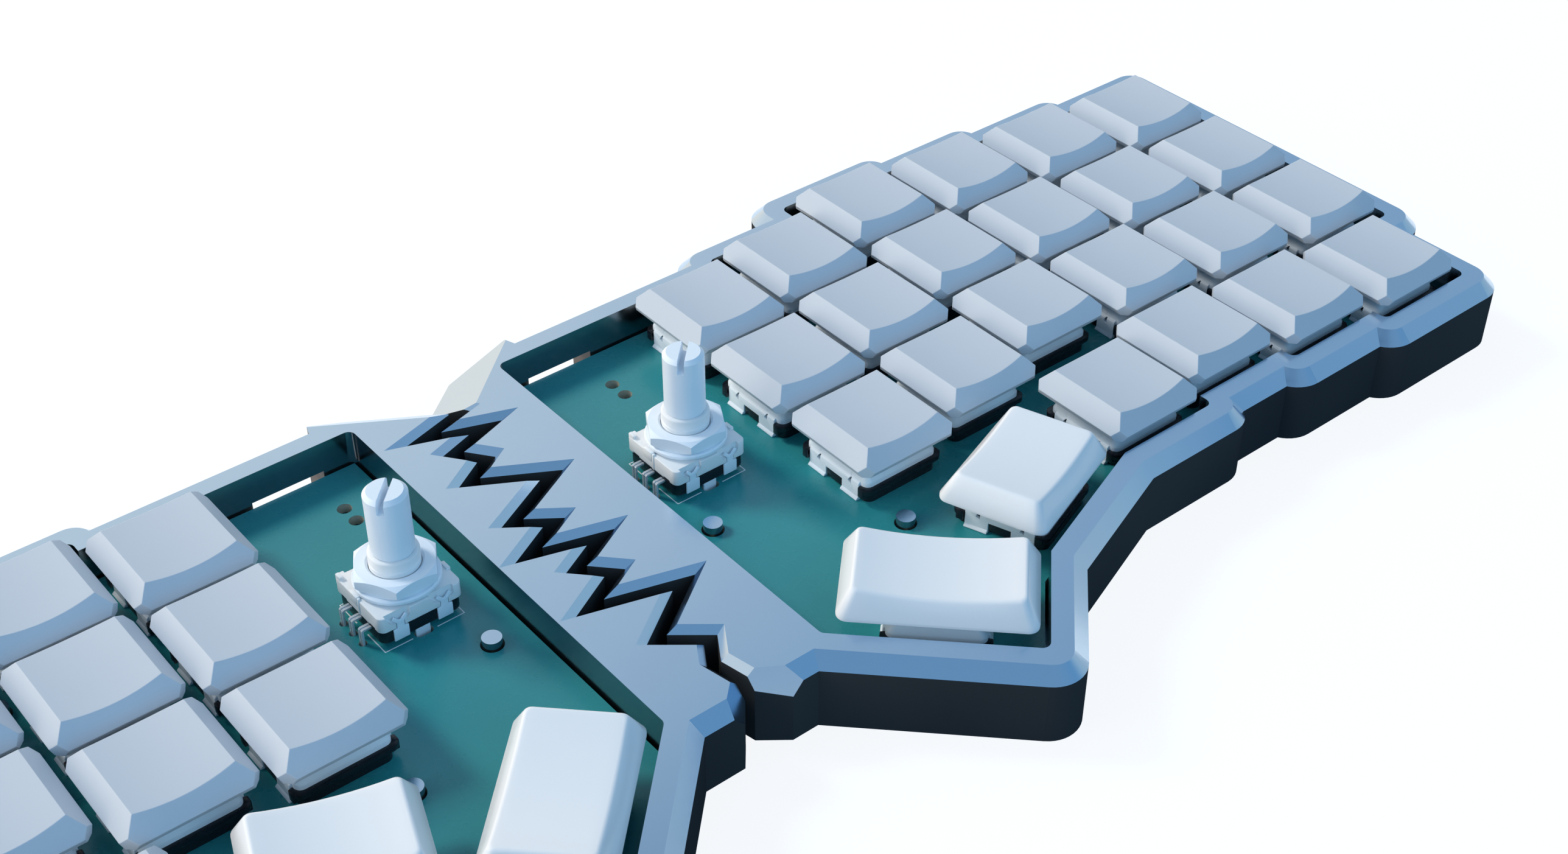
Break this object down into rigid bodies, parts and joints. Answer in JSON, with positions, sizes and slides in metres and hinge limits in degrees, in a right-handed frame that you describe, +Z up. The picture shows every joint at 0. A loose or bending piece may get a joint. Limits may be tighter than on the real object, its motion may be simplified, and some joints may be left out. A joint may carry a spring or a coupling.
{
  "type": "ergonomic split keyboard",
  "caption": "Split keyboard: two polished tray halves along a zigzag gap, staggered low-profile keys, angled thumb keys and a bare rotary encoder shaft in each half.",
  "frame": {"origin": "middle of the overall box, on the underside plane", "axes": "+X from the left half to the right half, +Y to the rear, +Z up"},
  "size_m": [0.3112, 0.1137, 0.0269],
  "materials": {
    "case_metal": "polished, light blue anodised",
    "board_green": "glossy solder mask",
    "switch_black": "moulded",
    "switch_white": "frosted",
    "cap_grey": "matte",
    "cap_white": "satin gloss",
    "encoder_metal": "bright zinc"
  },
  "bodies": {
    "right_half": {"right_case": "case_metal", "right_circuit_board": "board_green", "right_switch_bases": "switch_black", "right_switch_covers": "switch_white", "right_encoder_body": "encoder_metal"},
    "left_half": {"left_case": "case_metal", "left_circuit_board": "board_green", "left_switch_bases": "switch_black", "left_switch_covers": "switch_white", "left_encoder_body": "encoder_metal"},
    "right_shaft": {"right_encoder_shaft": "encoder_metal"},
    "right_row1_col1": {"right_key_row1_col1": "cap_grey"},
    "right_row1_col2": {"right_key_row1_col2": "cap_grey"},
    "right_row1_col3": {"right_key_row1_col3": "cap_grey"},
    "right_row1_col4": {"right_key_row1_col4": "cap_grey"},
    "right_row1_col5": {"right_key_row1_col5": "cap_grey"},
    "right_row1_col6": {"right_key_row1_col6": "cap_grey"},
    "right_row2_col1": {"right_key_row2_col1": "cap_grey"},
    "right_row2_col2": {"right_key_row2_col2": "cap_grey"},
    "right_row2_col3": {"right_key_row2_col3": "cap_grey"},
    "right_row2_col4": {"right_key_row2_col4": "cap_grey"},
    "right_row2_col5": {"right_key_row2_col5": "cap_grey"},
    "right_row2_col6": {"right_key_row2_col6": "cap_grey"},
    "right_row3_col1": {"right_key_row3_col1": "cap_grey"},
    "right_row3_col2": {"right_key_row3_col2": "cap_grey"},
    "right_row3_col3": {"right_key_row3_col3": "cap_grey"},
    "right_row3_col4": {"right_key_row3_col4": "cap_grey"},
    "right_row3_col5": {"right_key_row3_col5": "cap_grey"},
    "right_row3_col6": {"right_key_row3_col6": "cap_grey"},
    "right_row4_col1": {"right_key_row4_col1": "cap_grey"},
    "right_row4_col2": {"right_key_row4_col2": "cap_grey"},
    "right_row4_col3": {"right_key_row4_col3": "cap_grey"},
    "right_row4_col4": {"right_key_row4_col4": "cap_grey"},
    "right_thumb_outer": {"right_key_thumb_outer": "cap_white"},
    "right_thumb_inner": {"right_key_thumb_inner": "cap_white"},
    "left_shaft": {"left_encoder_shaft": "encoder_metal"},
    "left_row1_col1": {"left_key_row1_col1": "cap_grey"},
    "left_row1_col2": {"left_key_row1_col2": "cap_grey"},
    "left_row1_col3": {"left_key_row1_col3": "cap_grey"},
    "left_row1_col4": {"left_key_row1_col4": "cap_grey"},
    "left_row1_col5": {"left_key_row1_col5": "cap_grey"},
    "left_row1_col6": {"left_key_row1_col6": "cap_grey"},
    "left_row2_col1": {"left_key_row2_col1": "cap_grey"},
    "left_row2_col2": {"left_key_row2_col2": "cap_grey"},
    "left_row2_col3": {"left_key_row2_col3": "cap_grey"},
    "left_row2_col4": {"left_key_row2_col4": "cap_grey"},
    "left_row2_col5": {"left_key_row2_col5": "cap_grey"},
    "left_row2_col6": {"left_key_row2_col6": "cap_grey"},
    "left_row3_col1": {"left_key_row3_col1": "cap_grey"},
    "left_row3_col2": {"left_key_row3_col2": "cap_grey"},
    "left_row3_col3": {"left_key_row3_col3": "cap_grey"},
    "left_row3_col4": {"left_key_row3_col4": "cap_grey"},
    "left_row3_col5": {"left_key_row3_col5": "cap_grey"},
    "left_row3_col6": {"left_key_row3_col6": "cap_grey"},
    "left_row4_col1": {"left_key_row4_col1": "cap_grey"},
    "left_row4_col2": {"left_key_row4_col2": "cap_grey"},
    "left_row4_col3": {"left_key_row4_col3": "cap_grey"},
    "left_row4_col4": {"left_key_row4_col4": "cap_grey"},
    "left_thumb_outer": {"left_key_thumb_outer": "cap_white"},
    "left_thumb_inner": {"left_key_thumb_inner": "cap_white"}
  },
  "joints": [
    {"name": "left_half_apart", "type": "slide", "parent": "right_half", "child": "left_half", "axis": [-1, 0, 0], "range_m": [0, 0.15]},
    {"name": "right_encoder_turn", "type": "hinge", "parent": "right_half", "child": "right_shaft", "pos_m": [0.02406, 0.01284, 0.0218], "axis": [0, 0, 1], "continuous": true},
    {"name": "right_key_row1_col1_press", "type": "slide", "parent": "right_half", "child": "right_row1_col1", "axis": [0, 0, -1], "range_m": [0, 0.003], "stiffness_N_per_m": 100, "springref_m": -0.0035},
    {"name": "right_key_row1_col2_press", "type": "slide", "parent": "right_half", "child": "right_row1_col2", "axis": [0, 0, -1], "range_m": [0, 0.003], "stiffness_N_per_m": 100, "springref_m": -0.0035},
    {"name": "right_key_row1_col3_press", "type": "slide", "parent": "right_half", "child": "right_row1_col3", "axis": [0, 0, -1], "range_m": [0, 0.003], "stiffness_N_per_m": 100, "springref_m": -0.0035},
    {"name": "right_key_row1_col4_press", "type": "slide", "parent": "right_half", "child": "right_row1_col4", "axis": [0, 0, -1], "range_m": [0, 0.003], "stiffness_N_per_m": 100, "springref_m": -0.0035},
    {"name": "right_key_row1_col5_press", "type": "slide", "parent": "right_half", "child": "right_row1_col5", "axis": [0, 0, -1], "range_m": [0, 0.003], "stiffness_N_per_m": 100, "springref_m": -0.0035},
    {"name": "right_key_row1_col6_press", "type": "slide", "parent": "right_half", "child": "right_row1_col6", "axis": [0, 0, -1], "range_m": [0, 0.003], "stiffness_N_per_m": 100, "springref_m": -0.0035},
    {"name": "right_key_row2_col1_press", "type": "slide", "parent": "right_half", "child": "right_row2_col1", "axis": [0, 0, -1], "range_m": [0, 0.003], "stiffness_N_per_m": 100, "springref_m": -0.0035},
    {"name": "right_key_row2_col2_press", "type": "slide", "parent": "right_half", "child": "right_row2_col2", "axis": [0, 0, -1], "range_m": [0, 0.003], "stiffness_N_per_m": 100, "springref_m": -0.0035},
    {"name": "right_key_row2_col3_press", "type": "slide", "parent": "right_half", "child": "right_row2_col3", "axis": [0, 0, -1], "range_m": [0, 0.003], "stiffness_N_per_m": 100, "springref_m": -0.0035},
    {"name": "right_key_row2_col4_press", "type": "slide", "parent": "right_half", "child": "right_row2_col4", "axis": [0, 0, -1], "range_m": [0, 0.003], "stiffness_N_per_m": 100, "springref_m": -0.0035},
    {"name": "right_key_row2_col5_press", "type": "slide", "parent": "right_half", "child": "right_row2_col5", "axis": [0, 0, -1], "range_m": [0, 0.003], "stiffness_N_per_m": 100, "springref_m": -0.0035},
    {"name": "right_key_row2_col6_press", "type": "slide", "parent": "right_half", "child": "right_row2_col6", "axis": [0, 0, -1], "range_m": [0, 0.003], "stiffness_N_per_m": 100, "springref_m": -0.0035},
    {"name": "right_key_row3_col1_press", "type": "slide", "parent": "right_half", "child": "right_row3_col1", "axis": [0, 0, -1], "range_m": [0, 0.003], "stiffness_N_per_m": 100, "springref_m": -0.0035},
    {"name": "right_key_row3_col2_press", "type": "slide", "parent": "right_half", "child": "right_row3_col2", "axis": [0, 0, -1], "range_m": [0, 0.003], "stiffness_N_per_m": 100, "springref_m": -0.0035},
    {"name": "right_key_row3_col3_press", "type": "slide", "parent": "right_half", "child": "right_row3_col3", "axis": [0, 0, -1], "range_m": [0, 0.003], "stiffness_N_per_m": 100, "springref_m": -0.0035},
    {"name": "right_key_row3_col4_press", "type": "slide", "parent": "right_half", "child": "right_row3_col4", "axis": [0, 0, -1], "range_m": [0, 0.003], "stiffness_N_per_m": 100, "springref_m": -0.0035},
    {"name": "right_key_row3_col5_press", "type": "slide", "parent": "right_half", "child": "right_row3_col5", "axis": [0, 0, -1], "range_m": [0, 0.003], "stiffness_N_per_m": 100, "springref_m": -0.0035},
    {"name": "right_key_row3_col6_press", "type": "slide", "parent": "right_half", "child": "right_row3_col6", "axis": [0, 0, -1], "range_m": [0, 0.003], "stiffness_N_per_m": 100, "springref_m": -0.0035},
    {"name": "right_key_row4_col1_press", "type": "slide", "parent": "right_half", "child": "right_row4_col1", "axis": [0, 0, -1], "range_m": [0, 0.003], "stiffness_N_per_m": 100, "springref_m": -0.0035},
    {"name": "right_key_row4_col2_press", "type": "slide", "parent": "right_half", "child": "right_row4_col2", "axis": [0, 0, -1], "range_m": [0, 0.003], "stiffness_N_per_m": 100, "springref_m": -0.0035},
    {"name": "right_key_row4_col3_press", "type": "slide", "parent": "right_half", "child": "right_row4_col3", "axis": [0, 0, -1], "range_m": [0, 0.003], "stiffness_N_per_m": 100, "springref_m": -0.0035},
    {"name": "right_key_row4_col4_press", "type": "slide", "parent": "right_half", "child": "right_row4_col4", "axis": [0, 0, -1], "range_m": [0, 0.003], "stiffness_N_per_m": 100, "springref_m": -0.0035},
    {"name": "right_key_thumb_outer_press", "type": "slide", "parent": "right_half", "child": "right_thumb_outer", "axis": [0, 0, -1], "range_m": [0, 0.003], "stiffness_N_per_m": 100, "springref_m": -0.0035},
    {"name": "right_key_thumb_inner_press", "type": "slide", "parent": "right_half", "child": "right_thumb_inner", "axis": [0, 0, -1], "range_m": [0, 0.003], "stiffness_N_per_m": 100, "springref_m": -0.0035},
    {"name": "left_encoder_turn", "type": "hinge", "parent": "left_half", "child": "left_shaft", "pos_m": [-0.02406, 0.01284, 0.0218], "axis": [0, 0, 1], "continuous": true},
    {"name": "left_key_row1_col1_press", "type": "slide", "parent": "left_half", "child": "left_row1_col1", "axis": [0, 0, -1], "range_m": [0, 0.003], "stiffness_N_per_m": 100, "springref_m": -0.0035},
    {"name": "left_key_row1_col2_press", "type": "slide", "parent": "left_half", "child": "left_row1_col2", "axis": [0, 0, -1], "range_m": [0, 0.003], "stiffness_N_per_m": 100, "springref_m": -0.0035},
    {"name": "left_key_row1_col3_press", "type": "slide", "parent": "left_half", "child": "left_row1_col3", "axis": [0, 0, -1], "range_m": [0, 0.003], "stiffness_N_per_m": 100, "springref_m": -0.0035},
    {"name": "left_key_row1_col4_press", "type": "slide", "parent": "left_half", "child": "left_row1_col4", "axis": [0, 0, -1], "range_m": [0, 0.003], "stiffness_N_per_m": 100, "springref_m": -0.0035},
    {"name": "left_key_row1_col5_press", "type": "slide", "parent": "left_half", "child": "left_row1_col5", "axis": [0, 0, -1], "range_m": [0, 0.003], "stiffness_N_per_m": 100, "springref_m": -0.0035},
    {"name": "left_key_row1_col6_press", "type": "slide", "parent": "left_half", "child": "left_row1_col6", "axis": [0, 0, -1], "range_m": [0, 0.003], "stiffness_N_per_m": 100, "springref_m": -0.0035},
    {"name": "left_key_row2_col1_press", "type": "slide", "parent": "left_half", "child": "left_row2_col1", "axis": [0, 0, -1], "range_m": [0, 0.003], "stiffness_N_per_m": 100, "springref_m": -0.0035},
    {"name": "left_key_row2_col2_press", "type": "slide", "parent": "left_half", "child": "left_row2_col2", "axis": [0, 0, -1], "range_m": [0, 0.003], "stiffness_N_per_m": 100, "springref_m": -0.0035},
    {"name": "left_key_row2_col3_press", "type": "slide", "parent": "left_half", "child": "left_row2_col3", "axis": [0, 0, -1], "range_m": [0, 0.003], "stiffness_N_per_m": 100, "springref_m": -0.0035},
    {"name": "left_key_row2_col4_press", "type": "slide", "parent": "left_half", "child": "left_row2_col4", "axis": [0, 0, -1], "range_m": [0, 0.003], "stiffness_N_per_m": 100, "springref_m": -0.0035},
    {"name": "left_key_row2_col5_press", "type": "slide", "parent": "left_half", "child": "left_row2_col5", "axis": [0, 0, -1], "range_m": [0, 0.003], "stiffness_N_per_m": 100, "springref_m": -0.0035},
    {"name": "left_key_row2_col6_press", "type": "slide", "parent": "left_half", "child": "left_row2_col6", "axis": [0, 0, -1], "range_m": [0, 0.003], "stiffness_N_per_m": 100, "springref_m": -0.0035},
    {"name": "left_key_row3_col1_press", "type": "slide", "parent": "left_half", "child": "left_row3_col1", "axis": [0, 0, -1], "range_m": [0, 0.003], "stiffness_N_per_m": 100, "springref_m": -0.0035},
    {"name": "left_key_row3_col2_press", "type": "slide", "parent": "left_half", "child": "left_row3_col2", "axis": [0, 0, -1], "range_m": [0, 0.003], "stiffness_N_per_m": 100, "springref_m": -0.0035},
    {"name": "left_key_row3_col3_press", "type": "slide", "parent": "left_half", "child": "left_row3_col3", "axis": [0, 0, -1], "range_m": [0, 0.003], "stiffness_N_per_m": 100, "springref_m": -0.0035},
    {"name": "left_key_row3_col4_press", "type": "slide", "parent": "left_half", "child": "left_row3_col4", "axis": [0, 0, -1], "range_m": [0, 0.003], "stiffness_N_per_m": 100, "springref_m": -0.0035},
    {"name": "left_key_row3_col5_press", "type": "slide", "parent": "left_half", "child": "left_row3_col5", "axis": [0, 0, -1], "range_m": [0, 0.003], "stiffness_N_per_m": 100, "springref_m": -0.0035},
    {"name": "left_key_row3_col6_press", "type": "slide", "parent": "left_half", "child": "left_row3_col6", "axis": [0, 0, -1], "range_m": [0, 0.003], "stiffness_N_per_m": 100, "springref_m": -0.0035},
    {"name": "left_key_row4_col1_press", "type": "slide", "parent": "left_half", "child": "left_row4_col1", "axis": [0, 0, -1], "range_m": [0, 0.003], "stiffness_N_per_m": 100, "springref_m": -0.0035},
    {"name": "left_key_row4_col2_press", "type": "slide", "parent": "left_half", "child": "left_row4_col2", "axis": [0, 0, -1], "range_m": [0, 0.003], "stiffness_N_per_m": 100, "springref_m": -0.0035},
    {"name": "left_key_row4_col3_press", "type": "slide", "parent": "left_half", "child": "left_row4_col3", "axis": [0, 0, -1], "range_m": [0, 0.003], "stiffness_N_per_m": 100, "springref_m": -0.0035},
    {"name": "left_key_row4_col4_press", "type": "slide", "parent": "left_half", "child": "left_row4_col4", "axis": [0, 0, -1], "range_m": [0, 0.003], "stiffness_N_per_m": 100, "springref_m": -0.0035},
    {"name": "left_key_thumb_outer_press", "type": "slide", "parent": "left_half", "child": "left_thumb_outer", "axis": [0, 0, -1], "range_m": [0, 0.003], "stiffness_N_per_m": 100, "springref_m": -0.0035},
    {"name": "left_key_thumb_inner_press", "type": "slide", "parent": "left_half", "child": "left_thumb_inner", "axis": [0, 0, -1], "range_m": [0, 0.003], "stiffness_N_per_m": 100, "springref_m": -0.0035}
  ]
}
